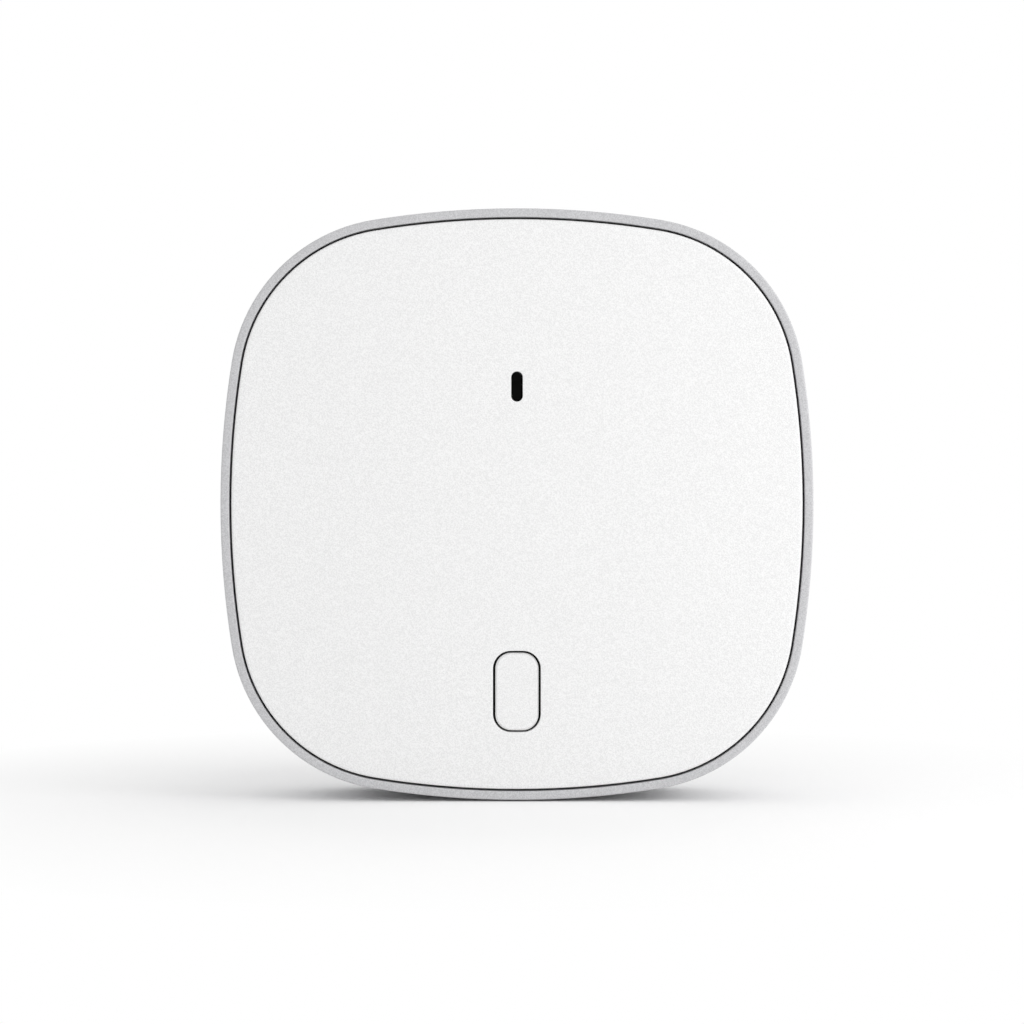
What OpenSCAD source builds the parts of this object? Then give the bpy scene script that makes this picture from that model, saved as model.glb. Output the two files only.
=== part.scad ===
// Garage door controller: a small wall hub in a bowed square casing, with one button and one status light.
// Every piece is drawn as the hub lies on its back on a bench: x to the right across the face, y up the
// face, z out from the wall face to the front. stand() then sets it up on its lower edge, front to -Y.

/* [Casing] */
// Width of the casing between the crowns of its bowed sides
body_w = 80; // [79:0.5:92]
// Height of the casing between the crowns of its bowed top and bottom
body_h = 79.8; // [79:0.2:92]
// Depth of the casing from wall face to front face
body_d = 24; // [23.5:0.5:32]
// Radius of the bow of all four sides
side_r = 121.5; // [105:0.5:180]
// Radius of the four corners of the outline
corner_r = 23; // [20:0.5:26]
// Radius of the flat part of the wall face
flat_r = 27.5; // [26:0.5:30]
// How far the bowed back has come forward at the corners
back_rise = 7.5; // [5:0.5:8]
// Thickness of the housing's side wall
wall = 2.2; // [2:0.1:2.8]
// Thickness of the housing's floor
floor_t = 2; // [1.6:0.1:2.6]
// Width of the housing's lip that shows round the cover
lip_w = 1.17; // [1:0.01:1.3]

/* [Front cover] */
// Thickness of the front cover
cover_t = 2; // [1.7:0.1:2.6]
// Width of the seam between cover and lip
seam_gap = 0.3; // [0.2:0.02:0.4]
// Depth of the seam down to the inner frame's rim
seam_depth = 1; // [0.8:0.1:1.2]
// Distance between the two hooks on each side of the cover
hook_span = 28; // [20:1:32]
// Width of a cover hook
hook_w = 4; // [3:0.5:6]
// Thickness of a cover hook
hook_t = 1.2; // [0.8:0.1:1.6]
// How far a cover hook catches under the inner frame
hook_catch = 0.5; // [0.3:0.05:0.7]
// Height of the hook's wedge
hook_head = 1.2; // [0.8:0.1:1.6]
// Distance of a hook's outer face from the casing's side
hook_inset = 4.4; // [4:0.1:6]

/* [Inner frame] */
// Thickness of the inner frame's plate
frame_t = 1.2; // [1:0.1:1.6]
// Width of the frame's rim that closes the seam
rim_w = 0.9; // [0.7:0.05:1.1]
// Height of the ribs that guide the button
guide_rib_h = 0.9; // [0.5:0.1:1.1]

/* [Button] */
// Width of the button's window in the cover
window_w = 6.35; // [5.8:0.05:7.5]
// Height of the button's window in the cover
window_h = 10.97; // [10.5:0.01:13]
// Corner radius of the button's window
window_r = 2.4; // [1.8:0.1:2.8]
// Chamfer round the button's window
window_chamfer = 0.12; // [0.05:0.01:0.25]
// Height of the window's centre above the casing's lower edge
window_rise = 14.6; // [13:0.1:17]
// Gap all round the button in its window
button_gap = 0.26; // [0.2:0.01:0.35]
// How far the button's face lies behind the cover's face
button_recess = 0.1; // [0:0.05:0.3]
// Radius of the button's front edge
button_edge_r = 0.25; // [0.1:0.05:0.4]
// Travel of the button
button_travel = 0.5; // [0.3:0.05:0.6]
// Width of the button's stem in the inner frame
stem_w = 4.2; // [3.4:0.1:4.8]
// Height of the button's stem in the inner frame
stem_h = 8.4; // [7.8:0.1:9]
// Thickness of the two snap legs on the stem
leg_t = 0.9; // [0.7:0.05:1.1]
// Width of the two snap legs
leg_w = 2.6; // [1.8:0.1:3.2]
// How far a snap leg catches behind the inner frame
leg_catch = 0.4; // [0.25:0.05:0.5]

/* [Tact switch] */
// Side of the switch's square body
switch_w = 6.2; // [5.6:0.1:6.4]
// Height of the switch's body
switch_h = 3.4; // [3:0.1:3.5]
// Radius of the switch's plunger
plunger_r = 1.75; // [1.2:0.05:2]
// Height of the plunger above the switch's body
plunger_rise = 0.9; // [0.8:0.05:1]
// Thickness of the switch's snap dome
dome_t = 0.15; // [0.1:0.01:0.25]

/* [Status light] */
// Width of the light's slot in the cover
slot_w = 1.5; // [1.2:0.05:2.2]
// Height of the light's slot in the cover
slot_h = 4.05; // [3.2:0.05:5]
// Distance of the slot's centre below the casing's top edge
slot_drop = 24.05; // [22:0.05:27]
// How far the lens lies behind the cover's face
lens_recess = 0.25; // [0.05:0.05:0.5]
// Width of the shoulder all round the lens
shoulder_w = 0.9; // [0.6:0.1:1.2]
// Thickness of the lens's shoulder
shoulder_t = 1; // [0.6:0.1:1.4]
// Width of the lamp's package
led_w = 2.8; // [2:0.1:2.8]
// Length of the lamp's package
led_l = 3.5; // [2.8:0.1:4]
// Height of the lamp's package
led_h = 1.9; // [1:0.1:2.2]

/* [Main board] */
// Thickness of the main board
board_t = 1.6; // [1.2:0.2:1.6]
// Space between inner frame and main board
board_gap = 4.8; // [4.6:0.1:5]
// Gap between the board's edge and the housing's wall
board_edge = 1; // [0.6:0.1:1.6]
// Distance between a part on the board and the post or part beside it
part_gap = 1.6; // [1:0.1:2]

/* [Screws] */
// Distance of each housing screw from the casing's corner
screw_inset = 7.7; // [7.5:0.1:9]
// Radius of a housing screw's shank
screw_r = 1.25; // [1:0.05:1.5]
// Length of a housing screw under its head
screw_len = 10; // [8:0.5:12]
// Radius of a housing screw's head
head_r = 2.4; // [2.2:0.1:2.6]
// Height of a housing screw's head
head_h = 1.5; // [1.2:0.1:2]
// Radius of the frame posts that take the housing screws
post_r = 3.2; // [2.6:0.1:3.4]
// How far the frame posts reach past the main board
post_reach = 6; // [5:0.25:7]
// Thickness of the seat under each housing screw's head
seat_t = 2.6; // [1.8:0.1:3]
// Distance of the board screws from the casing's sides
board_screw_inset = 9; // [8:0.5:10]
// Distance between the two board screws on each side
board_screw_span = 20; // [16:1:24]
// Radius of a board screw's shank
board_screw_r = 0.9; // [0.7:0.05:1.1]
// Length of a board screw under its head
board_screw_len = 5.4; // [4:0.2:5.6]
// Radius of a board screw's head
board_head_r = 1.8; // [1.5:0.1:2]
// Height of a board screw's head
board_head_h = 1.2; // [0.8:0.1:1.6]
// Radius of the frame posts that carry the main board
board_post_r = 2.4; // [1.9:0.1:2.6]

/* [Wall mount] */
// Distance between the two keyholes
keyhole_spacing = 32; // [30:0.5:34]
// Height of the keyholes' entries above the casing's centre
keyhole_rise = 11; // [10:0.5:13]
// Radius of a keyhole's entry
entry_r = 4.2; // [3.6:0.1:4.4]
// Radius of a keyhole's slot
keyslot_r = 2.3; // [1.8:0.1:2.4]
// Length of a keyhole's slot
keyslot_len = 7; // [6:0.5:8]
// Depth of the pocket for the wall screw's head
pocket_d = 4.5; // [3.5:0.25:5]
// Room round the wall screw's head in its pocket
pocket_room = 0.4; // [0.2:0.1:0.6]

/* [Power inlet] */
// Width of the inlet's body
jack_w = 9; // [8.6:0.1:9.6]
// Distance of the inlet's underside from the wall face
jack_low = 3.5; // [3:0.1:4]
// Length of the inlet's body
jack_l = 14.3; // [12:0.1:15]
// Length of the inlet's square nose
jack_nose = 3.5; // [2.5:0.1:4.5]
// Radius of the inlet's round back
jack_round_r = 4.4; // [4:0.1:4.5]
// Radius of the inlet's bore
jack_bore_r = 3.15; // [2.8:0.05:3.4]
// Depth of the inlet's bore
jack_bore_l = 9.5; // [8:0.1:10]
// Radius of the inlet's centre pin
jack_pin_r = 1; // [0.6:0.05:1.3]
// Width of the plug bay in the wall face
bay_w = 13; // [12.4:0.2:14]
// Height of the plug bay in the wall face
bay_h = 18; // [16:0.5:19]
// Height of the bay above the casing's lower edge
bay_rise = 7; // [6.5:0.25:8]
// Thickness of the bay's walls
bay_wall = 1.4; // [1.2:0.1:1.6]
// Width of the cord channel from the bay to the lower edge
cord_w = 4.8; // [4.2:0.2:6]
// Depth of the cord channel
cord_d = 5.2; // [4.8:0.1:6]

/* [Sounder] */
// Radius of the sounder's case
sounder_r = 8; // [7.5:0.1:8.4]
// Height of the sound duct inside the wall face
duct_h = 2; // [1.5:0.1:3]
// Wall of the sounder's case
sounder_wall = 0.8; // [0.6:0.1:1]
// Radius of the sounder's port
port_r = 1.6; // [1:0.1:2]
// Thickness of the piezo disc
piezo_t = 0.3; // [0.2:0.05:0.5]
// Thickness of the foam ring between sounder and housing
gasket_t = 1.4; // [1:0.1:1.8]
// Radius of a sound hole in the wall face
sound_hole_r = 0.8; // [0.5:0.05:1]
// Radius of the ring of sound holes
sound_ring_r = 3.3; // [2.6:0.1:4]

/* [Radio] */
// Width of the network module
radio_w = 18; // [16:0.5:18]
// Length of the network module
radio_l = 22; // [20:0.5:22]
// Thickness of the network module's board
radio_t = 0.8; // [0.6:0.1:1]
// Height of the screening cans
can_h = 2.2; // [1.8:0.1:2.6]
// Sheet thickness of the screening cans
can_t = 0.3; // [0.2:0.05:0.4]
// Turns of the door radio's aerial
aerial_turns = 12; // [8:1:13]
// Radius of the aerial's winding at the middle of its wire
aerial_r = 2.4; // [2:0.1:2.6]
// Diameter of the aerial's wire
aerial_wire = 0.8; // [0.6:0.1:1]
// Length of the aerial's winding
aerial_len = 34; // [30:1:36]

/* [Fits] */
// Clearance between moulded pieces that fit into each other
fit = 0.1; // [0.05:0.01:0.15]
// Clearance between a moving piece and its stop or neighbour
rest_gap = 0.05; // [0.02:0.01:0.1]
// Clearance of a screw in its pilot hole
thread_fit = 0.02; // [0.01:0.01:0.05]
// Clearance of a screw in a through hole
through_fit = 0.2; // [0.1:0.05:0.3]
// Air between housing walls and what stands near them
air = 0.3; // [0.2:0.05:0.4]
// Thickness of the thin moulded walls inside the casing
thin_wall = 1.2; // [1:0.1:1.4]

/* [Hidden] */
$fn = 128;

// Cuts run this far past the faces they open
over = 1;
// How deep a rib or post runs into the wall that carries it
root = 0.6;

// The outline: four bowed sides and four corner arcs, each tangent to the next
half_w = body_w / 2;
half_h = body_h / 2;
bow_x = half_w - side_r;
bow_y = half_h - side_r;
bow_dist = norm([bow_x, bow_y]);
corner_lift = sqrt(pow(side_r - corner_r, 2) - pow(bow_dist / 2, 2));
corner_x = bow_x / 2 - corner_lift * bow_y / bow_dist;
corner_y = bow_y / 2 - corner_lift * bow_x / bow_dist;
side_turn = atan2(corner_y, corner_x - bow_x);
top_turn = atan2(corner_x, corner_y - bow_y);
// The corners stand this little proud, so that they cross the bows and don't only touch them
corner_proud = 0.002;

// The back: an arc that leaves the flat wall face smoothly and has risen by back_rise at the corners
back_run = norm([corner_x, corner_y]) + corner_r - flat_r;
back_r = (pow(back_run, 2) + pow(back_rise, 2)) / (2 * back_rise);

// Heights above the wall face
cover_back = body_d - cover_t;
rim_top = body_d - seam_depth;
frame_back = cover_back - frame_t;
board_front = frame_back - board_gap;
board_back = board_front - board_t;
post_end = board_back - post_reach;
screw_seat = post_end - seat_t;
plunger_top = board_front + switch_h + plunger_rise;

// Distances in from the casing's outer face
cover_inset = lip_w + seam_gap;
rim_inset = lip_w + fit;
rim_inner = rim_inset + rim_w;
step_inset = rim_inner + fit;
board_inset = wall + board_edge;

// Places on the face, from the casing's centre
window_y = window_rise - half_h;
slot_y = half_h - slot_drop;
screw_x = corner_x + (corner_r - screw_inset) * cos(45);
screw_y = corner_y + (corner_r - screw_inset) * sin(45);
board_screw_x = half_w - board_screw_inset;

// The button and its guide
button_w = window_w - 2 * button_gap;
button_h = window_h - 2 * button_gap;
button_r = window_r - button_gap;
button_top = body_d - button_recess;
button_under = cover_back + button_travel + rest_gap;
guide_w = stem_w + 2 * fit;
guide_h = stem_h + 2 * fit;
leg_head = 1;
leg_end = frame_back - rest_gap - leg_head;

// The switch's well, and the collar of the plunger in it
well_floor = 0.5;
well_roof = 0.5;
well_r = plunger_r + 0.7;
collar_t = 0.4;
collar_top = switch_h - well_roof - rest_gap;
dome_rise = collar_top - collar_t - rest_gap - well_floor;

// The light pipe and its chimney
lens_w = slot_w - 2 * fit;
lens_h = slot_h - 2 * fit;
chimney_w = slot_w + 2 * shoulder_w + 2 * fit;
chimney_h = slot_h + 2 * shoulder_w + 2 * fit;

// The screw bosses, the pockets and the plug bay
boss_r = head_r + through_fit + fit + thin_wall;
pocket_r = entry_r + pocket_room;
bay_y = bay_rise - half_h;
bay_roof = board_back - air;
duct_top = floor_t + duct_h;
duct_r = sounder_r - root;

// The inlet lies at its place from the wall face and reaches up to the main board
jack_mouth = bay_y + bay_h;
jack_h = board_back - jack_low;
jack_z = jack_low + jack_round_r;
jack_axis = board_back - jack_z;
jack_tab_w = 1.6;

// The inlet's centre pin: free from its nose to its thicker root at the bottom of the bore
pin_setback = 0.8;
pin_step = 0.3;
pin_root_r = jack_pin_r * 1.5;

// The sounder fills the room from the main board to the foam ring, with the piezo disc half way
sounder_h = board_back - gasket_t - duct_top;
disc_rise = sounder_h / 2;
disc_r = sounder_r - sounder_wall - fit;

// Width, length and height of the chips, the crystal's can, the regulator and the inductor
processor_size = [9, 9, 0.9];
memory_size = [6, 5, 0.8];
crystal_size = [5, 3.2, 1.1];
regulator_size = [3.5, 6.5, 1.5];
regulator_lead = 1.7;
inductor_size = [7, 7, 4];
chip_size = [0.8, 1.6, 0.8];
transmitter_can = [13, 12];

// The two supply capacitors: radius and height of each can, and the base it stands on
capacitor_r = [4, 3.15];
capacitor_h = [6.2, 5.4];
capacitor_base_t = 1.2;
capacitor_margin = 0.2;

// Places on the board's front: the network module beside the left posts, the rest between chimney and posts
radio_at = [radio_w / 2 + part_gap + board_post_r - board_screw_x, 9];
memory_at = [radio_at.x + (radio_w - memory_size.x) / 2, -11];
transmitter_at = [(chimney_w / 2 + thin_wall + board_screw_x - board_post_r) / 2, 16];
processor_at = [transmitter_at.x, 0];
crystal_at = [processor_at.x - processor_size.x / 2 - part_gap - crystal_size.x / 2, -9];

// Places under the board: spread evenly between the inlet's tabs and the heads of the board screws
row_start = jack_w / 2 + jack_tab_w;
row_end = board_screw_x - board_head_r;
sounder_at = [-(row_start + row_end) / 2, -5];
regulator_w = regulator_size.x + 2 * regulator_lead;
supply_gap = (row_end - row_start - inductor_size.x - regulator_w) / 3;
inductor_at = [row_start + supply_gap + inductor_size.x / 2, 1.5];
regulator_at = [row_end - supply_gap - regulator_w / 2, 2];
capacitor_w = 2 * (capacitor_r + [capacitor_margin, capacitor_margin]);
capacitor_gap = (row_end - row_start - capacitor_w[0] - capacitor_w[1]) / 3;
capacitor_y = -10;
capacitor_at = [[row_start + capacitor_gap + capacitor_w[0] / 2, capacitor_y],
    [row_end - capacitor_gap - capacitor_w[1] / 2, capacitor_y]];

// The aerial lies along the board's upper edge
aerial_inset = 2.9;
aerial_at = [0, half_h - board_inset - aerial_inset - aerial_r - aerial_wire / 2];

// The aerial's winding, as rings of points along the wire
aerial_z = board_back - aerial_r - aerial_wire / 2 - 2 * air;
aerial_rings = 8;
aerial_sides = 6;
aerial_steps = (aerial_turns + 0.5) * aerial_rings;

// Colours as the photo shows them, and those of the hidden parts as such parts have them
housing_grey = [0.78, 0.78, 0.79];
cover_white = [0.95, 0.95, 0.95];
frame_black = [0.05, 0.05, 0.05];
part_black = [0.12, 0.12, 0.13];
metal_grey = [0.72, 0.73, 0.75];
board_green = [0.08, 0.32, 0.2];
brass = [0.8, 0.66, 0.36];

// Sets a piece upright on the casing's lower edge
module stand() translate([0, body_d / 2, half_h]) rotate([90, 0, 0]) children();

// Points where the outline's arcs meet, drawn in by inset
function meets(inset) = let (
        r = side_r - inset,
        p = [bow_x + r * cos(side_turn), r * sin(side_turn)],
        q = [r * sin(top_turn), bow_y + r * cos(top_turn)])
    [p, q, [-q.x, q.y], [-p.x, p.y], [-p.x, -p.y], [-q.x, -q.y], [q.x, -q.y], [p.x, -p.y]];

// The casing's outline drawn in by inset: two bowed bands, each between opposite sides, and the corner discs
module outline(inset) {
    c = [corner_x, corner_y];
    d = [-corner_x, corner_y];
    p = meets(-corner_r);
    intersection() {
        translate([bow_x, 0]) circle(side_r - inset);
        translate([-bow_x, 0]) circle(side_r - inset);
        polygon([c, p[0], p[7], -d, -c, p[4], p[3], d]);
    }
    intersection() {
        translate([0, bow_y]) circle(side_r - inset);
        translate([0, -bow_y]) circle(side_r - inset);
        polygon([c, p[1], p[2], d, -c, p[5], p[6], -d]);
    }
    for (at = [c, d, -c, -d])
        translate(at) circle(corner_r + corner_proud - inset);
}

// A plate of the casing's outline between two heights
module outline_plate(inset, low, high) translate([0, 0, low]) linear_extrude(high - low) outline(inset);

module rounded_rect(w, h, r) {
    square([w - 2 * r, h], center = true);
    square([w, h - 2 * r], center = true);
    for (x = [-1, 1], y = [-1, 1])
        translate([x * (w / 2 - r), y * (h / 2 - r)]) circle(r);
}

// Sweeps a profile round a rounded rectangle, with x out from its edge and y up
module around_rect(w, h, r) {
    for (side = [[0, w, h], [90, h, w], [180, w, h], [270, h, w]])
        rotate(side[0]) {
            translate([side[1] / 2, side[2] / 2 - r, 0]) rotate([90, 0, 0])
                linear_extrude(side[2] - 2 * r) children();
            translate([side[1] / 2 - r, side[2] / 2 - r, 0]) rotate_extrude(angle = 90)
                translate([r, 0]) children();
        }
}

// Upright slot that starts at the origin
module slot_up(r, len) {
    circle(r);
    translate([0, len]) circle(r);
    translate([-r, 0]) square([2 * r, len]);
}

// The four housing screws, with x turned out to the corner
module at_corners()
    for (x = [-1, 1], y = [-1, 1])
        translate([x * screw_x, y * screw_y]) rotate(atan2(y, x)) children();

module at_board_screws()
    for (x = [-1, 1], y = [-1, 1])
        translate([x * board_screw_x, y * board_screw_span / 2]) children();

module at_keyholes()
    for (x = [-1, 1])
        translate([x * keyhole_spacing / 2, keyhole_rise]) children();

// The hooks on the cover's four sides, with x turned out to the side
module at_hooks()
    for (side = [[0, half_w], [90, half_h], [180, half_w], [270, half_h]], along = [-1, 1])
        rotate(side[0]) translate([side[1] - hook_inset, along * hook_span / 2]) children();

// Hangs a part under the main board: its z then runs from the board to the wall face
module under_board(at) translate([at.x, at.y, board_back]) mirror([0, 0, 1]) children();

// Stands a part on the front of the main board
module on_board(at) translate([at.x, at.y, board_front]) children();

// Pan head screw with a cross recess, head down and shank up from its seat
module pan_screw(r, len, cap_r, cap_h) {
    tip = r;
    recess = cap_r * 0.6;
    difference() {
        union() {
            translate([0, 0, -cap_h]) intersection() {
                cylinder(r = cap_r, h = cap_h);
                translate([0, 0, cap_r * 1.4]) sphere(cap_r * 1.5);
            }
            cylinder(r = r, h = len - tip);
            translate([0, 0, len - tip]) cylinder(r1 = r, r2 = r / 2, h = tip);
        }
        for (turn = [0, 90])
            rotate(turn) translate([-recess, -recess / 5, -cap_h - over])
                cube([2 * recess, recess * 2 / 5, over + cap_h * 0.6]);
    }
}

// All that lies in front of the casing's back, drawn in by inset: flat on the wall, then bowed to the corners
module before_back(inset) rotate_extrude() {
    translate([0, inset]) square([flat_r, back_r + body_d - inset]);
    translate([flat_r, back_r]) {
        square([back_r - inset, body_d]);
        intersection() {
            circle(back_r - inset);
            translate([0, -back_r]) square(back_r);
        }
    }
}

// What the cavity leaves standing: screw bosses and ribs, keyhole pockets, plug bay, cord tunnel, sound duct
module housing_bosses() {
    at_corners() {
        cylinder(r = boss_r, h = post_end);
        translate([0, -thin_wall / 2, 0]) cube([screw_inset, thin_wall, screw_seat + seat_t / 2]);
    }
    at_keyholes() linear_extrude(floor_t + pocket_d + thin_wall)
        slot_up(pocket_r + thin_wall, keyslot_len);
    translate([-bay_w / 2 - bay_wall, bay_y - bay_wall, 0])
        cube([bay_w + 2 * bay_wall, bay_h + 2 * bay_wall, bay_roof]);
    translate([-cord_w / 2 - thin_wall, -half_h, 0])
        cube([cord_w + 2 * thin_wall, bay_rise, cord_d + thin_wall]);
    translate([sounder_at.x, sounder_at.y, 0]) cylinder(r = duct_r, h = duct_top);
}

// What is cut from the housing
module housing_cuts() {
    at_corners() {
        translate([0, 0, -over]) cylinder(r = head_r + through_fit + fit, h = screw_seat + over);
        translate([0, 0, screw_seat - over]) cylinder(r = screw_r + through_fit, h = seat_t + 2 * over);
    }
    at_keyholes() {
        translate([0, 0, -over]) cylinder(r = entry_r, h = floor_t + 2 * over);
        translate([0, 0, -over]) linear_extrude(floor_t + 2 * over) slot_up(keyslot_r, keyslot_len);
        translate([0, 0, floor_t]) linear_extrude(pocket_d) slot_up(pocket_r, keyslot_len);
    }
    translate([-bay_w / 2, bay_y, -over]) cube([bay_w, bay_h, bay_roof - bay_wall + over]);
    translate([-jack_w / 2 - air, jack_mouth - over, jack_low - air])
        cube([jack_w + 2 * air, bay_wall + 2 * over, bay_roof]);
    translate([-cord_w / 2, -half_h - over, -over])
        cube([cord_w, bay_rise + 2 * over, cord_d - cord_w / 2 + over]);
    translate([0, -half_h - over, cord_d - cord_w / 2]) rotate([-90, 0, 0])
        cylinder(r = cord_w / 2, h = bay_rise + 2 * over);
    translate([sounder_at.x, sounder_at.y, 0]) {
        translate([0, 0, floor_t]) cylinder(r = duct_r - thin_wall, h = duct_top);
        translate([0, 0, -over]) cylinder(r = sound_hole_r, h = floor_t + 2 * over);
        for (turn = [0:60:300])
            rotate(turn) translate([sound_ring_r, 0, -over])
                cylinder(r = sound_hole_r, h = floor_t + 2 * over);
    }
}

module rear_housing() color(housing_grey) stand() difference() {
    intersection() {
        outline_plate(0, 0, body_d);
        before_back(0);
    }
    difference() {
        intersection() {
            outline_plate(wall, 0, body_d);
            before_back(floor_t);
        }
        housing_bosses();
    }
    outline_plate(lip_w, frame_back, body_d + over);
    housing_cuts();
}

// Snap hook under the cover, with its wedge turned out
module cover_hook() {
    top = frame_back - fit;
    translate([0, hook_w / 2, 0]) rotate([90, 0, 0]) linear_extrude(hook_w)
        polygon([[-hook_t, cover_back + root], [-hook_t, top - hook_head], [-hook_t / 3, top - hook_head],
            [hook_catch + fit, top], [0, top], [0, cover_back + root]]);
}

module front_cover() color(cover_white) stand() difference() {
    union() {
        outline_plate(step_inset, cover_back, body_d);
        outline_plate(cover_inset, rim_top + fit, body_d);
        at_hooks() cover_hook();
    }
    translate([0, window_y, 0]) {
        translate([0, 0, cover_back - over]) linear_extrude(cover_t + 2 * over)
            rounded_rect(window_w, window_h, window_r);
        translate([0, 0, body_d]) around_rect(window_w, window_h, window_r)
            polygon([[-over, -window_chamfer], [0, -window_chamfer], [window_chamfer + over, over],
                [-over, over]]);
    }
    translate([0, slot_y - slot_h / 2 + slot_w / 2, cover_back - over])
        linear_extrude(cover_t + 2 * over) slot_up(slot_w / 2, slot_h - slot_w);
}

// The plate on the housing's ledge, with the rim that closes the seam, the posts, chimney and button guide
module inner_frame() color(frame_black) stand() difference() {
    chimney_low = board_front + air;
    union() {
        difference() {
            outline_plate(rim_inset, frame_back, rim_top);
            outline_plate(rim_inner, cover_back, rim_top + over);
        }
        at_corners() translate([0, 0, post_end]) cylinder(r = post_r, h = frame_back + root - post_end);
        at_board_screws() translate([0, 0, board_front])
            cylinder(r = board_post_r, h = frame_back + root - board_front);
        translate([0, slot_y, chimney_low]) linear_extrude(frame_back + root - chimney_low)
            rounded_rect(chimney_w + 2 * thin_wall, chimney_h + 2 * thin_wall, thin_wall);
        for (x = [-1, 1])
            translate([x * (guide_w + thin_wall) / 2, window_y, frame_back - guide_rib_h / 2 + root / 2])
                cube([thin_wall, guide_h, guide_rib_h + root], center = true);
    }
    translate([0, slot_y, chimney_low - over])
        cube_up(chimney_w, chimney_h, frame_back - chimney_low + over);
    translate([0, slot_y - slot_h / 2 + slot_w / 2, frame_back - over])
        linear_extrude(frame_t + 2 * over) slot_up(slot_w / 2, slot_h - slot_w);
    translate([0, window_y, frame_back - over]) cube_up(guide_w, guide_h, frame_t + 2 * over);
    at_hooks() translate([-hook_t - hook_catch - 2 * fit, -hook_w / 2 - fit, frame_back - over])
        cube([hook_t + hook_catch + 3 * fit, hook_w + 2 * fit, frame_t + 2 * over]);
    at_corners() translate([0, 0, post_end - over])
        cylinder(r = screw_r + thread_fit, h = screw_len - seat_t + 2 * over);
    at_board_screws() translate([0, 0, board_front - over])
        cylinder(r = board_screw_r + thread_fit, h = board_screw_len - board_t + over + air);
}

// Block on the plane z = 0, centred on the z axis
module cube_up(w, l, h) translate([-w / 2, -l / 2, 0]) cube([w, l, h]);

module button_cap() color(cover_white) stand() translate([0, window_y, 0]) {
    edge_band = button_r * 0.7;
    edge_middle = button_r * 0.4;
    nub_end = plunger_top + rest_gap;
    around_rect(button_w, button_h, button_r) {
        translate([-edge_band, button_under]) square([edge_band, button_top - button_edge_r - button_under]);
        translate([-edge_band, button_under]) square([edge_band - button_edge_r, button_top - button_under]);
        translate([-button_edge_r, button_top - button_edge_r]) circle(button_edge_r);
    }
    translate([0, 0, button_under])
        cube_up(button_w - 2 * edge_middle, button_h - 2 * edge_middle, button_top - button_under);
    translate([0, 0, frame_back]) cube_up(stem_w, stem_h - 4 * leg_t, button_under + root - frame_back);
    translate([0, 0, nub_end]) cylinder(r = plunger_r, h = button_under - nub_end);
    for (turn = [0, 180])
        rotate(turn) translate([leg_w / 2, stem_h / 2, 0]) rotate([90, 0, -90]) linear_extrude(leg_w)
            polygon([[leg_t, button_under + root], [leg_t, leg_end], [leg_t / 2, leg_end],
                [-leg_catch - fit, frame_back - rest_gap], [0, frame_back - rest_gap],
                [0, button_under + root]]);
}

module status_lens() color([0.03, 0.03, 0.04]) stand() {
    shoulder_low = frame_back - shoulder_t;
    pipe_low = board_front + led_h + air;
    translate([0, slot_y - lens_h / 2 + lens_w / 2, shoulder_low])
        linear_extrude(body_d - lens_recess - shoulder_low) slot_up(lens_w / 2, lens_h - lens_w);
    translate([0, slot_y, shoulder_low])
        cube_up(slot_w + 2 * shoulder_w, slot_h + 2 * shoulder_w, shoulder_t);
    translate([0, slot_y, pipe_low]) cube_up(led_w, led_l, shoulder_low - pipe_low + root);
}

module main_board() color(board_green) stand() difference() {
    notch_r = post_r + 2 * air;
    outline_plate(board_inset, board_back, board_front);
    at_corners() translate([0, 0, board_back - over]) {
        cylinder(r = notch_r, h = board_t + 2 * over);
        translate([0, -notch_r, 0]) cube([screw_inset, 2 * notch_r, board_t + 2 * over]);
    }
    at_board_screws() translate([0, 0, board_back - over])
        cylinder(r = board_screw_r + through_fit, h = board_t + 2 * over);
}

// The tact switch: a square body with a round well for its dome and plunger
module switch_body() color(part_black) stand() on_board([0, window_y]) difference() {
    cube_up(switch_w, switch_w, switch_h);
    translate([0, 0, well_floor]) cylinder(r = well_r, h = switch_h - well_floor - well_roof);
    cylinder(r = plunger_r + fit, h = switch_h + over);
}

module switch_leads() color(metal_grey) stand() on_board([0, window_y]) {
    lead_w = 0.7;
    lead_l = 1.2;
    lead_t = 0.25;
    for (turn = [0, 180], y = [-1, 1])
        rotate(turn) translate([switch_w / 2, y * switch_w / 3 - lead_w / 2, 0]) {
            cube([lead_l, lead_w, lead_t]);
            cube([lead_t, lead_w, 2 * lead_t]);
        }
}

module switch_plunger() color([0.2, 0.2, 0.2]) stand() on_board([0, window_y])
    translate([0, 0, collar_top - collar_t]) {
        cylinder(r = plunger_r, h = switch_h + plunger_rise - collar_top + collar_t);
        cylinder(r = well_r - fit, h = collar_t);
    }

// Snap dome: a flat foot ring, a sloped shoulder and a flat crown, in section
module switch_dome() color(metal_grey) stand() on_board([0, window_y]) translate([0, 0, well_floor])
    rotate_extrude() {
        foot_r = well_r - fit;
        foot_w = foot_r / 6;
        crown_r = foot_r / 2;
        low = dome_rise - dome_t;
        polygon([[0, low], [crown_r, low], [foot_r - foot_w, 0], [foot_r, 0], [foot_r, dome_t],
            [foot_r - foot_w, dome_t], [crown_r, dome_rise], [0, dome_rise]]);
    }

module status_led() color([0.92, 0.92, 0.88]) stand() on_board([0, slot_y]) difference() {
    cup_wall = 0.3;
    cup_r = led_w / 2 - cup_wall;
    cup_d = led_h / 2;
    cube_up(led_w, led_l, led_h);
    translate([0, 0, led_h - cup_d]) cylinder(r1 = cup_r - cup_wall, r2 = cup_r + cup_wall, h = 2 * cup_d);
}

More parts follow.
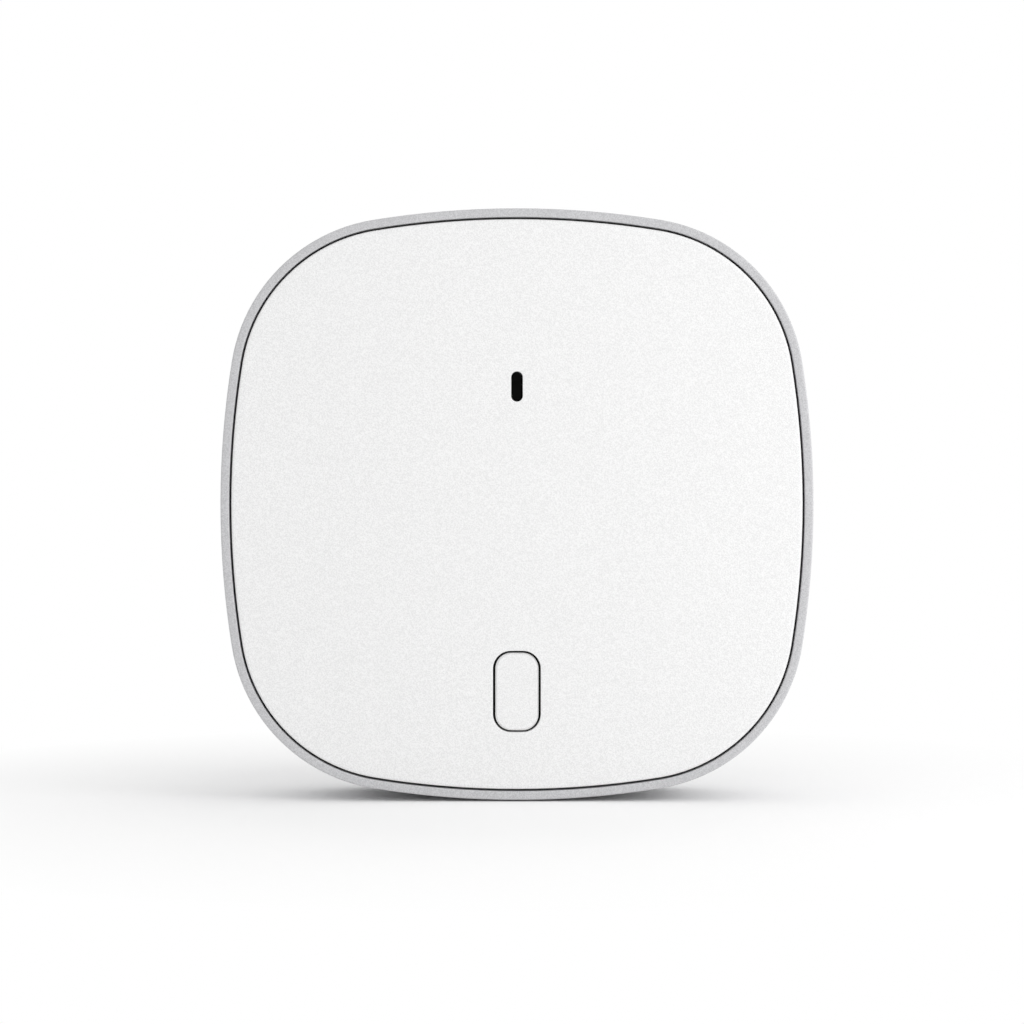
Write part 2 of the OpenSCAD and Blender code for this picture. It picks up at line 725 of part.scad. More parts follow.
module radio_board() color([0.06, 0.1, 0.16]) stand() on_board(radio_at) difference() {
    pad_pitch = 2;
    pad_r = 0.45;
    cube_up(radio_w, radio_l, radio_t);
    for (x = [-1, 1], i = [0:7])
        translate([x * radio_w / 2, pad_pitch * i - radio_l / 2 + pad_pitch / 2, -over])
            cylinder(r = pad_r, h = radio_t + 2 * over);
}

// Folded screening can, open below, with rows of vent holes in its top
module screening_can(w, l) {
    edge_r = 0.8;
    vent_r = 0.5;
    vent_pitch = 3;
    difference() {
        linear_extrude(can_h) rounded_rect(w, l, edge_r);
        translate([0, 0, -over]) linear_extrude(can_h - can_t + over)
            rounded_rect(w - 2 * can_t, l - 2 * can_t, edge_r - can_t);
        for (x = [-1:1], y = [-1:1])
            translate([x * vent_pitch, y * vent_pitch, 0]) cylinder(r = vent_r, h = can_h + over);
    }
}

module radio_shield() color(metal_grey) stand() on_board(radio_at) {
    margin = 1.4;
    aerial_end = 5.5;
    translate([0, -aerial_end / 2, radio_t])
        screening_can(radio_w - 2 * margin, radio_l - margin - aerial_end);
}

module transmitter_shield() color(metal_grey) stand() on_board(transmitter_at)
    screening_can(transmitter_can.x, transmitter_can.y);

// The aerial: a wire from the board, wound round an axis along x, and back to the board
function aerial_point(i) = let (turn = 360 * i / aerial_rings)
    [aerial_len * (i / aerial_steps - 0.5), aerial_r * cos(turn), aerial_z - aerial_r * sin(turn)];

// Each ring of the wire: its centre, the way out from the winding's axis, and the way along the wire
aerial_rows = let (
        first = aerial_point(0),
        last = aerial_point(aerial_steps))
    concat(
        [[[first.x, first.y, board_back], [0, 1, 0], [0, 0, -1]]],
        [for (i = [0:aerial_steps]) let (
                turn = 360 * i / aerial_rings,
                ahead = aerial_point(i + 0.5) - aerial_point(i - 0.5))
            [aerial_point(i), [0, cos(turn), -sin(turn)], ahead / norm(ahead)]],
        [[[last.x, last.y, board_back], [0, -1, 0], [0, 0, 1]]]);

// Least air between two turns of the aerial's wire
aerial_air = min([for (i = [0:aerial_steps - aerial_rings])
    norm(aerial_point(i + aerial_rings) - aerial_point(i))]) - aerial_wire;
echo(aerial_air = aerial_air);

module transmitter_aerial() color([0.8, 0.5, 0.25]) stand() translate([aerial_at.x, aerial_at.y, 0]) {
    n = aerial_sides;
    rows = len(aerial_rows);
    points = [for (row = aerial_rows) let (side = cross(row[2], row[1])) for (k = [0:n - 1])
        row[0] + aerial_wire / 2 * (cos(360 * k / n) * row[1] + sin(360 * k / n) * side)];
    sides = [for (j = [0:rows - 2], k = [0:n - 1]) let (a = j * n + k, b = j * n + (k + 1) % n)
        each [[a, b, b + n], [a, b + n, a + n]]];
    ends = [for (k = [1:n - 2])
        each [[0, k + 1, k], [(rows - 1) * n, (rows - 1) * n + k, (rows - 1) * n + k + 1]]];
    polyhedron(points, concat(sides, ends));
}

// Flat chip with a round mark dimple near its first corner
module flat_chip(size) difference() {
    dimple_r = 0.4;
    dimple_d = 0.1;
    dimple_inset = 1;
    cube_up(size.x, size.y, size.z);
    translate([dimple_inset - size.x / 2, size.y / 2 - dimple_inset, size.z - dimple_d])
        cylinder(r = dimple_r, h = over);
}

module processor() color(part_black) stand() on_board(processor_at) flat_chip(processor_size);

module memory_chip() color(part_black) stand() on_board(memory_at) flat_chip(memory_size);

// Flat crystal can on its wider seam flange
module crystal() color(metal_grey) stand() on_board(crystal_at) {
    flange_w = 0.3;
    flange_t = 0.4;
    edge_r = 0.5;
    linear_extrude(flange_t) rounded_rect(crystal_size.x, crystal_size.y, edge_r);
    linear_extrude(crystal_size.z)
        rounded_rect(crystal_size.x - 2 * flange_w, crystal_size.y - 2 * flange_w, edge_r);
}

// The power inlet lies under the main board with its mouth in the plug bay
module at_jack() translate([0, jack_mouth, jack_z]) rotate([-90, 0, 0]) children();

module jack_body() color(part_black) stand() difference() {
    union() {
        translate([-jack_w / 2, jack_mouth, jack_low]) cube([jack_w, jack_nose, jack_h]);
        translate([-jack_w / 2, jack_mouth, jack_z]) cube([jack_w, jack_l, jack_axis]);
        at_jack() cylinder(r = jack_round_r, h = jack_l);
    }
    at_jack() translate([0, 0, -over]) cylinder(r = jack_bore_r, h = jack_bore_l + over);
    at_jack() cylinder(r = pin_root_r + thread_fit, h = jack_l + over);
}

// Centre pin, riveted over at the back of the inlet
module jack_pin() color(brass) stand() at_jack() {
    nose = jack_pin_r / 2;
    root_low = jack_bore_l - pin_step;
    rivet_t = 0.5;
    translate([0, 0, pin_setback]) cylinder(r1 = nose, r2 = jack_pin_r, h = nose);
    translate([0, 0, pin_setback + nose]) cylinder(r = jack_pin_r, h = root_low - pin_setback - nose);
    translate([0, 0, root_low]) cylinder(r = pin_root_r, h = jack_l - root_low);
    translate([0, 0, jack_l]) cylinder(r = pin_root_r * 1.4, h = rivet_t);
}

module jack_tabs() color(metal_grey) stand() under_board([0, jack_mouth]) {
    tab_l = 2.6;
    tab_t = 0.5;
    for (x = [-1, 1], y = [jack_nose, jack_l - tab_l])
        translate([x * (jack_w + jack_tab_w) / 2, y + tab_l / 2, 0]) cube_up(jack_tab_w, tab_l, tab_t);
}

module voltage_regulator() color(part_black) stand() under_board(regulator_at) {
    lead_w = 0.7;
    lead_t = 0.3;
    lead_pitch = 2.3;
    tab_w = 3;
    lead_x = (regulator_size.x + regulator_lead) / 2 - lead_t;
    translate([0, 0, lead_t]) cube_up(regulator_size.x, regulator_size.y, regulator_size.z);
    for (i = [-1:1])
        translate([-lead_x, i * lead_pitch, 0]) cube_up(regulator_lead + lead_t, lead_w, 2 * lead_t);
    translate([lead_x, 0, 0]) cube_up(regulator_lead + lead_t, tab_w, 2 * lead_t);
}

// Moulded inductor with cut corners and a ring groove in its face
module power_inductor() color([0.22, 0.22, 0.23]) stand() under_board(inductor_at) difference() {
    corner_cut = 1.4;
    groove_w = 0.4;
    groove_d = 0.3;
    margin = 0.6;
    half = inductor_size.x / 2;
    diamond_w = (inductor_size.x - corner_cut) / cos(45);
    linear_extrude(inductor_size.z) intersection() {
        square(inductor_size.x, center = true);
        rotate(45) square(diamond_w, center = true);
    }
    translate([0, 0, inductor_size.z - groove_d]) difference() {
        cylinder(r = half - margin, h = over);
        cylinder(r = half - margin - groove_w, h = over);
    }
}

// Moulded bases with two cut corners under the capacitors
module capacitor_bases() color(part_black) stand()
    for (i = [0, 1])
        under_board(capacitor_at[i]) linear_extrude(capacitor_base_t) {
            half = capacitor_w[i] / 2;
            cut = capacitor_r[i] * 0.4;
            polygon([[half, half - cut], [half - cut, half], [-half, half], [-half, -half],
                [half - cut, -half], [half, cut - half]]);
        }

// Drawn aluminium cans with a rolled groove near the base
module capacitor_cans() color(metal_grey) stand()
    for (i = [0, 1])
        under_board(capacitor_at[i]) translate([0, 0, capacitor_base_t]) rotate_extrude() {
            r = capacitor_r[i];
            h = capacitor_h[i];
            groove = 0.4;
            groove_z = 3 * groove;
            polygon([[0, 0], [r, 0], [r, groove_z], [r - groove, groove_z + groove],
                [r - groove, groove_z + 2 * groove], [r, groove_z + 3 * groove], [r, h - groove],
                [r - groove, h], [0, h]]);
        }

// Row of small chip resistors and capacitors along x
module chip_row(count) {
    pitch = 2;
    for (i = [0:count - 1])
        translate([pitch * (i - (count - 1) / 2), 0, 0]) cube_up(chip_size.x, chip_size.y, chip_size.z);
}

// Rows of chips below the processor and the memory, and under the board below the inductor
module chip_parts() color([0.6, 0.52, 0.42]) stand() {
    row_gap = 1.2;
    below = [0, row_gap + chip_size.y / 2];
    on_board(processor_at - below - [0, processor_size.y / 2]) chip_row(5);
    on_board(memory_at - below - [0, memory_size.y / 2]) chip_row(4);
    under_board(inductor_at - below - [0, inductor_size.y / 2]) chip_row(5);
}

// The sounder, from the board to the wall face: base, piezo disc, case with its port, foam ring
module sounder_case() color(part_black) stand() under_board(sounder_at) rotate_extrude()
    difference() {
        translate([port_r, 0]) square([sounder_r - port_r, sounder_h]);
        translate([0, -over]) square([sounder_r - sounder_wall, over + disc_rise + piezo_t]);
        translate([0, disc_rise]) square([disc_r - sounder_wall, sounder_h - disc_rise - sounder_wall]);
    }

module sounder_base() color(part_black) stand() under_board(sounder_at) rotate_extrude()
    difference() {
        square([disc_r, disc_rise]);
        translate([0, sounder_wall]) square([disc_r - sounder_wall, disc_rise]);
    }

module piezo_disc() color(brass) stand() under_board(sounder_at)
    translate([0, 0, disc_rise]) cylinder(r = disc_r, h = piezo_t);

module sounder_gasket() color([0.15, 0.15, 0.15]) stand() under_board(sounder_at)
    translate([0, 0, sounder_h]) difference() {
        cylinder(r = duct_r, h = gasket_t);
        translate([0, 0, -over]) cylinder(r = duct_r - 2 * thin_wall, h = gasket_t + 2 * over);
    }

module board_screws() color(metal_grey) stand() at_board_screws() translate([0, 0, board_back])
    pan_screw(board_screw_r, board_screw_len, board_head_r, board_head_h);

module housing_screws() color(metal_grey) stand() at_corners() translate([0, 0, screw_seat])
    pan_screw(screw_r, screw_len, head_r, head_h);

rear_housing();
front_cover();
inner_frame();
button_cap();
status_lens();
main_board();
switch_body();
switch_leads();
switch_plunger();
switch_dome();
status_led();
radio_board();
radio_shield();
transmitter_shield();
transmitter_aerial();
processor();
memory_chip();
crystal();
jack_body();
jack_pin();
jack_tabs();
voltage_regulator();
power_inductor();
capacitor_bases();
capacitor_cans();
chip_parts();
sounder_case();
sounder_base();
piezo_disc();
sounder_gasket();
board_screws();
housing_screws();
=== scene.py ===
from math import atan2, cos, hypot, pi, radians, sin, sqrt
import bmesh
import bpy
from mathutils import Matrix, Vector


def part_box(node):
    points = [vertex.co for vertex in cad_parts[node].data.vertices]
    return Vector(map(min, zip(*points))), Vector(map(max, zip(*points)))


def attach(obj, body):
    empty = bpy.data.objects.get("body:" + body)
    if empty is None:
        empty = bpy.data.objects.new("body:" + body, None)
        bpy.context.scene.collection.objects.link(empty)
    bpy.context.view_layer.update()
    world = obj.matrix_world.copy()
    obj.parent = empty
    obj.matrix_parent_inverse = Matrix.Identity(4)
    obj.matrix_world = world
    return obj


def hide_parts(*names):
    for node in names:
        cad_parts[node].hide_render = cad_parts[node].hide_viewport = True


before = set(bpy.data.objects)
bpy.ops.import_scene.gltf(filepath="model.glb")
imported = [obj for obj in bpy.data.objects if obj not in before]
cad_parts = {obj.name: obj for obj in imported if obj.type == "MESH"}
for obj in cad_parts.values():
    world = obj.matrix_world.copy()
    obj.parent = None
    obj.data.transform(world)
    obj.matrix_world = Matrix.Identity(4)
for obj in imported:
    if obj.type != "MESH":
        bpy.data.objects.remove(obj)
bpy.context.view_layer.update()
scene = bpy.context.scene
scene.view_settings.view_transform = "Standard"

# Rear housing: the light grey tub that carries everything, injection moulded in one shot.
# Its four sides and four corners are arcs, its back is flat on the wall and bows forward to the
# corners, and its front edge is the thin lip that shows round the cover.
mm = 0.001
low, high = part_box("rear_housing")
front, back = low.y, high.y
mid = Vector((0, 0, (low.z + high.z) / 2))
half_w, half_h = high.x, high.z - mid.z
side_r, side_steps = 121.5 * mm, 16
corner_r, corner_steps = 23 * mm, 24
bow_x, bow_z = half_w - side_r, half_h - side_r
bow_far = hypot(bow_x, bow_z)
corner_lift = sqrt((side_r - corner_r) ** 2 - (bow_far / 2) ** 2)
corner_x = bow_x / 2 - corner_lift * bow_z / bow_far
corner_z = bow_z / 2 - corner_lift * bow_x / bow_far
side_turn, top_turn = atan2(corner_z, corner_x - bow_x), atan2(corner_x, corner_z - bow_z)
corner_turn = pi / 2 - side_turn - top_turn
casing_arcs = []
for sign in (1, -1):
    casing_arcs += [
        (Vector((sign * bow_x, 0, 0)), 2 * side_turn, side_steps),
        (Vector((sign * corner_x, 0, sign * corner_z)), corner_turn, corner_steps),
        (Vector((0, 0, sign * bow_z)), 2 * top_turn, side_steps),
        (Vector((-sign * corner_x, 0, sign * corner_z)), corner_turn, corner_steps)]
flat_r, back_rise, floor_t = 27.5 * mm, 7.5 * mm, 2 * mm
back_run = hypot(corner_x, corner_z) + corner_r - flat_r
back_r = (back_run ** 2 + back_rise ** 2) / (2 * back_rise)
back_rings = (0.985, 0.96, 0.92, 0.88, 0.84, 0.8, 0.76, 0.72, 0.68, 0.64, 0.6, 0.56, 0.53)
wall, lip_w, ledge_y = 2.2 * mm, 1.17 * mm, front + 3.2 * mm
ledge_round, nook_round, lip_round, rim_round = 0.15 * mm, 0.1 * mm, 0.12 * mm, 0.25 * mm
back_round, round_steps = 1 * mm, 5
weld, crease = 0.002 * mm, radians(35)


def chain(bm, points):
    """Draws points joined by edges, one after the other."""
    line = [bm.verts.new(p) for p in points]
    for a, b in zip(line, line[1:]):
        bm.edges.new((a, b))
    return line


def points_of(made):
    """The points among what an operator has made."""
    return [g for g in made if isinstance(g, bmesh.types.BMVert)]


def soften(bm, geom, size, steps, affect="EDGES"):
    """Rounds edges, or the corners of a line or a face."""
    bmesh.ops.bevel(bm, geom=geom, offset=size, segments=steps, profile=0.5, affect=affect, material=-1)


def sweep_round(bm, section):
    """Sweeps a section of (distance in from the outline, y, edge round) round the casing's eight arcs."""
    out = Vector((cos(side_turn), 0, -sin(side_turn)))
    start = mid + casing_arcs[0][0]
    line = chain(bm, [start + out * (side_r - inset) + Vector((0, y, 0)) for inset, y, edge in section])
    for corner, (inset, y, edge) in zip(line, section):
        if edge:
            soften(bm, [corner], edge, round_steps, "VERTICES")
    swept = bm.verts[:] + bm.edges[:]
    for centre, turn, steps in casing_arcs:
        swept = bmesh.ops.spin(bm, geom=swept, cent=mid + centre, axis=(0, -1, 0), angle=turn,
                               steps=steps)["geom_last"]
    bmesh.ops.remove_doubles(bm, verts=bm.verts, dist=weld)


def lay_on_back(verts, inner):
    """Lays points on the bowed back, drawn in by inner."""
    for v in verts:
        run = max(0, hypot(v.co.x, v.co.z - mid.z) - flat_r)
        v.co.y = back - back_r + sqrt((back_r - inner) ** 2 - run ** 2)


def bow_back(bm, edges, inner):
    """Closes the tub's back from its edge to the middle, along the bowed back drawn in by inner."""
    lay_on_back({v for e in edges for v in e.verts}, inner)
    size = 1
    for ring in back_rings:
        made = bmesh.ops.extrude_edge_only(bm, edges=edges)["geom"]
        edges = [g for g in made if isinstance(g, bmesh.types.BMEdge) and g.is_boundary]
        bmesh.ops.scale(bm, vec=(ring / size, 1, ring / size), space=Matrix.Translation(-mid),
                        verts=points_of(made))
        lay_on_back(points_of(made), inner)
        size = ring
    bmesh.ops.edgeloop_fill(bm, edges=edges)


def disc(bm, x, z, r, steps=40):
    """Round face at a place on the casing's back or front."""
    made = bmesh.ops.create_circle(bm, cap_ends=True, radius=r, segments=steps,
                                   matrix=Matrix.Translation((x, 0, z)) @ Matrix.Rotation(pi / 2, 4, "X"))
    return made["verts"][0].link_faces[0]


def rounded(bm, x, z, w, h, r, steps=8):
    """Upright oblong face with its corners rounded, a slot where the rounding takes half the width."""
    kept = set(bm.faces)
    corners = [bm.verts.new((x + a * w / 2, 0, z + b * h / 2))
               for a, b in ((-1, -1), (1, -1), (1, 1), (-1, 1))]
    bm.faces.new(corners)
    largest = 0.49 * w
    soften(bm, corners, min(r, largest), steps, "VERTICES")
    return [f for f in bm.faces if f not in kept][0]


def draw_out(bm, face, levels):
    """Draws a face along Y through levels of (y, growth all round) and returns its first points."""
    first = list(face.verts)
    middle = sum((v.co for v in first), Vector()) / len(first)
    span = [max(abs(v.co[i] - middle[i]) for v in first) for i in (0, 2)]
    grown = 0
    for step, (y, grow) in enumerate(levels):
        if step:
            start = face
            made = bmesh.ops.extrude_face_region(bm, geom=[start])["geom"]
            face = [g for g in made if isinstance(g, bmesh.types.BMFace)][0]
        if step > 1:
            bmesh.ops.delete(bm, geom=[start], context="FACES_ONLY")
        more = grow - grown
        bmesh.ops.scale(bm, vec=(1 + more / span[0], 1, 1 + more / span[1]),
                        space=Matrix.Translation(-middle), verts=face.verts)
        span = [s + more for s in span]
        grown = grow
        for v in face.verts:
            v.co.y = y
    return first


def make_piece(name, bm):
    """Turns a finished bmesh into a smooth object with its sharp edges kept."""
    bmesh.ops.remove_doubles(bm, verts=bm.verts, dist=weld)
    bmesh.ops.recalc_face_normals(bm, faces=bm.faces)
    mesh = bpy.data.meshes.new(name)
    bm.to_mesh(mesh)
    bm.free()
    mesh.shade_smooth()
    mesh.set_sharp_from_angle(angle=crease)
    piece = bpy.data.objects.new(name, mesh)
    scene.collection.objects.link(piece)
    return piece


def carve(piece, tool, operation):
    """Joins a tool's solids to a piece, or cuts them from it, and keeps the result as the piece's mesh."""
    change = piece.modifiers.new("carve", "BOOLEAN")
    change.operation = operation
    change.solver = "MANIFOLD"
    change.object = tool
    carved = bpy.data.meshes.new_from_object(piece.evaluated_get(bpy.context.evaluated_depsgraph_get()))
    piece.modifiers.clear()
    carved.name = piece.name
    piece.data = carved
    bpy.data.objects.remove(tool)
    carved.shade_smooth()
    carved.set_sharp_from_angle(angle=crease)


tub = bmesh.new()
sweep_round(tub, [(wall, back - floor_t, 0), (wall, ledge_y, ledge_round), (lip_w, ledge_y, nook_round),
                  (lip_w, front, lip_round), (0, front, rim_round), (0, back, 0)])
open_edges = [e for e in tub.edges if e.is_boundary]
inner_edge = [e for e in open_edges if e.verts[0].co.y < back - floor_t / 2]
back_edge = [e for e in open_edges if e.verts[0].co.y > back - floor_t / 2]
bow_back(tub, inner_edge, floor_t)
bow_back(tub, back_edge, 0)
soften(tub, back_edge, back_round, round_steps)
housing = make_piece("housing", tub)

# the bosses, pockets, plug bay and sound duct that stand on the tub's floor
boss_in, boss_r, boss_end = corner_r - 7.7 * mm, 3.9 * mm, 3.6 * mm
boss_x, boss_z = corner_x + boss_in * cos(pi / 4), corner_z + boss_in * sin(pi / 4)
boss_places = [(x * boss_x, mid.z + z * boss_z) for x in (-1, 1) for z in (-1, 1)]
keyhole_x, keyhole_z, keyhole_rise = 16 * mm, mid.z + 11 * mm, 7 * mm
head_r, shank_w, pocket_w, pocket_end = 4.2 * mm, 4.6 * mm, 9.2 * mm, 5.5 * mm
pocket_wall_w, pocket_wall_end = 11.6 * mm, 4.3 * mm
bay_w, bay_h, bay_z, bay_end = 13 * mm, 18 * mm, 16 * mm, -0.7 * mm
bay_wall, bay_wall_r, bay_r = 1.4 * mm, 0.5 * mm, 0.6 * mm
gasket_low, gasket_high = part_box("sounder_gasket")
sound_x, sound_z = (gasket_low.x + gasket_high.x) / 2, (gasket_low.z + gasket_high.z) / 2
duct_r, duct_end, throat_r, throat_end = 7.4 * mm, 8 * mm, 6.2 * mm, 7 * mm
tunnel_w, tunnel_h, tunnel_z, tunnel_r, tunnel_end = 7.2 * mm, 6.8 * mm, 4.6 * mm, 0.3 * mm, 5.6 * mm


def keyway(bm, x, w):
    """Upright slot face, w wide, over the way that a wall screw runs in a keyhole."""
    return rounded(bm, x, keyhole_z + keyhole_rise / 2, w, w + keyhole_rise, w / 2)


bosses, tunnel = bmesh.new(), bmesh.new()
standing = [(disc(bosses, x, z, boss_r), boss_end) for x, z in boss_places]
standing += [(keyway(bosses, x, pocket_wall_w), pocket_wall_end) for x in (-keyhole_x, keyhole_x)]
standing.append((rounded(bosses, 0, bay_z, bay_w + 2 * bay_wall, bay_h + 2 * bay_wall, bay_wall_r),
                 bay_end - bay_wall))
standing.append((disc(bosses, sound_x, sound_z, duct_r), duct_end))
for face, end in standing:
    lay_on_back(draw_out(bosses, face, [(back, 0), (end, 0)]), floor_t / 2)
lay_on_back(draw_out(tunnel, rounded(tunnel, 0, tunnel_z, tunnel_w, tunnel_h, tunnel_r),
                     [(back, 0), (tunnel_end, 0)]), floor_t / 2)
carve(housing, make_piece("bosses", bosses), "UNION")
carve(housing, make_piece("tunnel", tunnel), "UNION")

# what the mould's cores leave open in the back, the bay and the sound holes with a small chamfer
core_over, chamfer = 2 * mm, 0.25 * mm
outside, through = back + core_over, back - 2.5 * mm
mouth = [(outside, chamfer + core_over), (back - chamfer, 0)]
seat_r, seat_y = 2.7 * mm, 6.2 * mm
hole_r, hole_ring, hole_steps = 0.8 * mm, 3.3 * mm, 24
nose_w, nose_h, nose_r = 9.6 * mm, 3.1 * mm, 0.1 * mm
nose_z, nose_back, nose_front = bay_z + bay_h / 2 + 1.5 * mm, 8.8 * mm, -2.6 * mm
slots, holes, pockets = bmesh.new(), bmesh.new(), bmesh.new()
for x in (-keyhole_x, keyhole_x):
    draw_out(slots, keyway(slots, x, shank_w), [(outside, 0), (through, 0)])
    draw_out(holes, disc(holes, x, keyhole_z, head_r), [(outside, 0), (through, 0)])
    draw_out(pockets, keyway(pockets, x, pocket_w), [(back - floor_t, 0), (pocket_end, 0)])
for x, z in boss_places:
    draw_out(holes, disc(holes, x, z, seat_r), [(outside, 0), (seat_y, 0)])
for x, z in [(0, 0)] + [(hole_ring * cos(i * pi / 3), hole_ring * sin(i * pi / 3)) for i in range(6)]:
    draw_out(holes, disc(holes, sound_x + x, sound_z + z, hole_r, hole_steps), mouth + [(through, 0)])
draw_out(pockets, disc(pockets, sound_x, sound_z, throat_r), [(back - floor_t, 0), (throat_end, 0)])
draw_out(holes, rounded(holes, 0, bay_z, bay_w, bay_h, bay_r), mouth + [(bay_end, 0)])
draw_out(pockets, rounded(pockets, 0, nose_z, nose_w, nose_h, nose_r), [(nose_back, 0), (nose_front, 0)])
for name, tool in (("slots", slots), ("holes", holes), ("pockets", pockets)):
    carve(housing, make_piece(name, tool), "DIFFERENCE")

# the arched cord channel from the bay down to the lower edge
arch_r, arch_y, arch_steps = 2.4 * mm, 9.2 * mm, 20
channel_low, channel_len = -2 * mm, bay_z - bay_h / 2 + 3 * mm
channel = bmesh.new()
leg = chain(channel, [(arch_r, outside, channel_low), (arch_r, arch_y, channel_low)])
arc = bmesh.ops.spin(channel, geom=[leg[1]], cent=(0, arch_y, channel_low), axis=(0, 0, -1), angle=pi,
                     steps=arch_steps)
far_leg = channel.verts.new((-arch_r, outside, channel_low))
channel.edges.new((points_of(arc["geom_last"])[0], far_leg))
channel.edges.new((far_leg, leg[0]))
bmesh.ops.edgeloop_fill(channel, edges=channel.edges)
drawn = bmesh.ops.extrude_face_region(channel, geom=channel.faces[:])["geom"]
bmesh.ops.translate(channel, vec=(0, 0, channel_len), verts=points_of(drawn))
carve(housing, make_piece("channel", channel), "DIFFERENCE")


def srgb(*levels):
    """Colour as the eye reads it, 0 to 255, as the shader's linear colour."""
    return tuple((v / 255 / 12.92 if v < 10.3 else ((v / 255 + 0.055) / 1.055) ** 2.4) for v in levels) + (1,)


def start_group(name, sockets_in, sockets_out):
    """Starts a shader group with named inputs and outputs."""
    group = bpy.data.node_groups.new(name, "ShaderNodeTree")
    for label, kind, value in sockets_in:
        socket = group.interface.new_socket(label, in_out="INPUT", socket_type=kind)
        socket.default_value = value
    for label, kind in sockets_out:
        group.interface.new_socket(label, in_out="OUTPUT", socket_type=kind)
    return group, group.nodes.new("NodeGroupInput"), group.nodes.new("NodeGroupOutput")


def place(tree, kind, links=(), **settings):
    """Adds a node, sets its options and the values of its sockets, and links its inputs."""
    node = tree.nodes.new(kind)
    for key, value in settings.items():
        if hasattr(node, key):
            setattr(node, key, value)
        else:
            node.inputs[key.replace("_", " ")].default_value = value
    for source, socket in links:
        tree.links.new(source, node.inputs[socket])
    return node


def blank(name):
    """New material with its node tree and its shader."""
    material = bpy.data.materials.new(name)
    material.use_nodes = True
    return material, material.node_tree, material.node_tree.nodes["Principled BSDF"]


def textured(name, group, values, **constants):
    """Material whose colour, roughness and normal come from a texture group."""
    material, tree, shader = blank(name)
    for socket, value in constants.items():
        shader.inputs[socket.replace("_", " ")].default_value = value
    texture = place(tree, "ShaderNodeGroup", node_tree=group, **values)
    for output, socket in (("Color", "Base Color"), ("Roughness", "Roughness"), ("Normal", "Normal")):
        tree.links.new(texture.outputs[output], shader.inputs[socket])
    return material


def coat(piece, material):
    """Gives a piece its one finish."""
    piece.data.materials.clear()
    piece.data.materials.append(material)


# the mould's spark-eroded texture: fine pits with painted shade in their darker colour, a slow mottling, and
# the gloss that goes with them
mix_share, mix_first, mix_second, mix_colour = 0, 6, 7, 2    # the Mix node's sockets for colours
surface = [("Color", "NodeSocketColor"), ("Roughness", "NodeSocketFloat"), ("Normal", "NodeSocketVector")]
mottle_share, pit_deep = 0.04, 0.1 * mm
erosion, given, gives = start_group(
    "eroded_texture",
    [("Pit Shade", "NodeSocketColor", (0.5, 0.5, 0.5, 1)), ("Land", "NodeSocketColor", (0.6, 0.6, 0.6, 1)),
     ("Grain", "NodeSocketFloat", 4000), ("Depth", "NodeSocketFloat", 0.3),
     ("Smooth", "NodeSocketFloat", 0.4), ("Matt", "NodeSocketFloat", 0.6)],
    surface)
at = place(erosion, "ShaderNodeTexCoord")
fine = place(erosion, "ShaderNodeTexNoise",
             [(at.outputs["Object"], "Vector"), (given.outputs["Grain"], "Scale")], Detail=2.0, Roughness=0.6)
slow = place(erosion, "ShaderNodeTexNoise", [(at.outputs["Object"], "Vector")], Scale=160.0, Detail=3.0)
blend = place(erosion, "ShaderNodeMath", [(slow.outputs["Fac"], 0), (fine.outputs["Fac"], 2)],
              operation="MULTIPLY_ADD")
blend.inputs[1].default_value = mottle_share
level = place(erosion, "ShaderNodeMapRange", [(blend.outputs[0], "Value")], clamp=True,
              From_Min=0.4, From_Max=0.64)
# low points of the fine noise take the darker colour: painted shade in the hollows of the grain, with the
# slow mottling as a real change of tone
colour = place(erosion, "ShaderNodeMix",
               [(level.outputs["Result"], mix_share), (given.outputs["Pit Shade"], mix_first),
                (given.outputs["Land"], mix_second)], data_type="RGBA")
gloss = place(erosion, "ShaderNodeMapRange",
              [(level.outputs["Result"], "Value"), (given.outputs["Matt"], "To Min"),
               (given.outputs["Smooth"], "To Max")])
pits = place(erosion, "ShaderNodeBump",
             [(given.outputs["Depth"], "Strength"), (fine.outputs["Fac"], "Height")], Distance=pit_deep)
for source, socket in ((colour.outputs[mix_colour], "Color"), (gloss.outputs["Result"], "Roughness"),
                       (pits.outputs["Normal"], "Normal")):
    erosion.links.new(source, gives.inputs[socket])


def moulded(name, pit_shade, land, grain, depth, smooth, matt, specular=0.5):
    """Moulded plastic with the mould's eroded texture, and painted shade in the pits' darker colour."""
    return textured(name, erosion, {"Pit Shade": pit_shade, "Land": land, "Grain": grain, "Depth": depth,
                                    "Smooth": smooth, "Matt": matt}, Specular_IOR_Level=specular)


coat(housing, moulded("housing_plastic", pit_shade=srgb(189, 189, 191), land=srgb(211, 211, 213), grain=6700,
                      depth=0.25, smooth=0.42, matt=0.58))
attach(housing, "casing")
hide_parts("rear_housing")

# Inner frame: the black moulded plate that sits on the housing's ledge and takes all the screws.
# Only its rim shows, as the dark line down in the seam, and its edges round the button and the lens.
def dress(material, *names):
    """Gives solids that are carried over from the frame their finish."""
    for name in names:
        coat(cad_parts[name], material)


dress(moulded("frame_plastic", pit_shade=srgb(14, 14, 15), land=srgb(22, 22, 23), grain=3000,
              depth=0.3, smooth=0.5, matt=0.7), "inner_frame")

